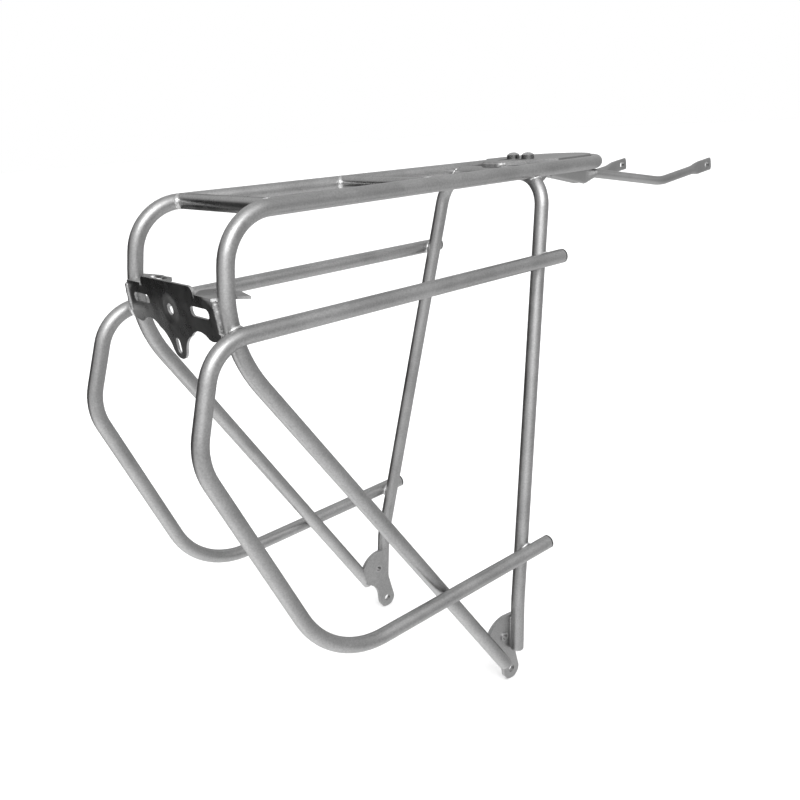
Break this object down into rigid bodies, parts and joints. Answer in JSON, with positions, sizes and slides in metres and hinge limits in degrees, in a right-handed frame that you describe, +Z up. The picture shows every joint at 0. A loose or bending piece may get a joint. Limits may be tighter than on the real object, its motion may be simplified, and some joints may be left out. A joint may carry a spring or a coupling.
{
  "type": "bicycle rear rack",
  "caption": "Tubular steel rear rack for a bicycle: narrow platform, dropped pannier tubes on both sides, lamp bracket behind and adjustable stays in front.",
  "frame": {"origin": "midway between the two lower dropout eyes, on the line through both", "axes": "+X towards the front of the bicycle, +Y towards its left side, +Z up"},
  "size_m": [0.5272, 0.182, 0.3809],
  "materials": {
    "satin_steel": "fine satin, bead-blasted stainless steel",
    "stay_steel": "fine satin stainless steel",
    "fastener_steel": "smooth, slightly polished stainless steel",
    "dark_sheet": "dark, glossy",
    "black_plug": "matte"
  },
  "bodies": {
    "frame": {"right_side_tube": "satin_steel", "left_side_tube": "satin_steel", "front_bow": "satin_steel", "leg_hoop": "satin_steel", "right_pannier_tube": "satin_steel", "left_pannier_tube": "satin_steel", "rear_cross_tube": "satin_steel", "middle_cross_tube": "satin_steel", "right_dropout": "satin_steel", "left_dropout": "satin_steel", "stay_mounting_plate": "satin_steel", "right_mudguard_bush": "fastener_steel", "left_mudguard_bush": "fastener_steel", "right_upper_plug": "black_plug", "right_lower_plug": "black_plug", "left_upper_plug": "black_plug", "left_lower_plug": "black_plug", "light_bracket": "dark_sheet"},
    "right_bolt": {"right_stay_bolt": "fastener_steel", "right_upper_washer": "fastener_steel", "right_lower_washer": "fastener_steel", "right_stay_nut": "fastener_steel"},
    "right_stay_arm": {"right_stay": "stay_steel"},
    "left_bolt": {"left_stay_bolt": "fastener_steel", "left_upper_washer": "fastener_steel", "left_lower_washer": "fastener_steel", "left_stay_nut": "fastener_steel"},
    "left_stay_arm": {"left_stay": "stay_steel"}
  },
  "joints": [
    {"name": "right_bolt_slide", "type": "slide", "parent": "frame", "child": "right_bolt", "axis": [1, 0, 0], "range_m": [-0.014, 0.002]},
    {"name": "right_stay_swing", "type": "hinge", "parent": "right_bolt", "child": "right_stay_arm", "pos_m": [0.1041, -0.0075, 0.3638], "axis": [0, 0, 1], "range_deg": [-8, 2]},
    {"name": "left_bolt_slide", "type": "slide", "parent": "frame", "child": "left_bolt", "axis": [1, 0, 0], "range_m": [-0.014, 0.002]},
    {"name": "left_stay_swing", "type": "hinge", "parent": "left_bolt", "child": "left_stay_arm", "pos_m": [0.1041, 0.0075, 0.3638], "axis": [0, 0, 1], "range_deg": [-2, 8]}
  ]
}
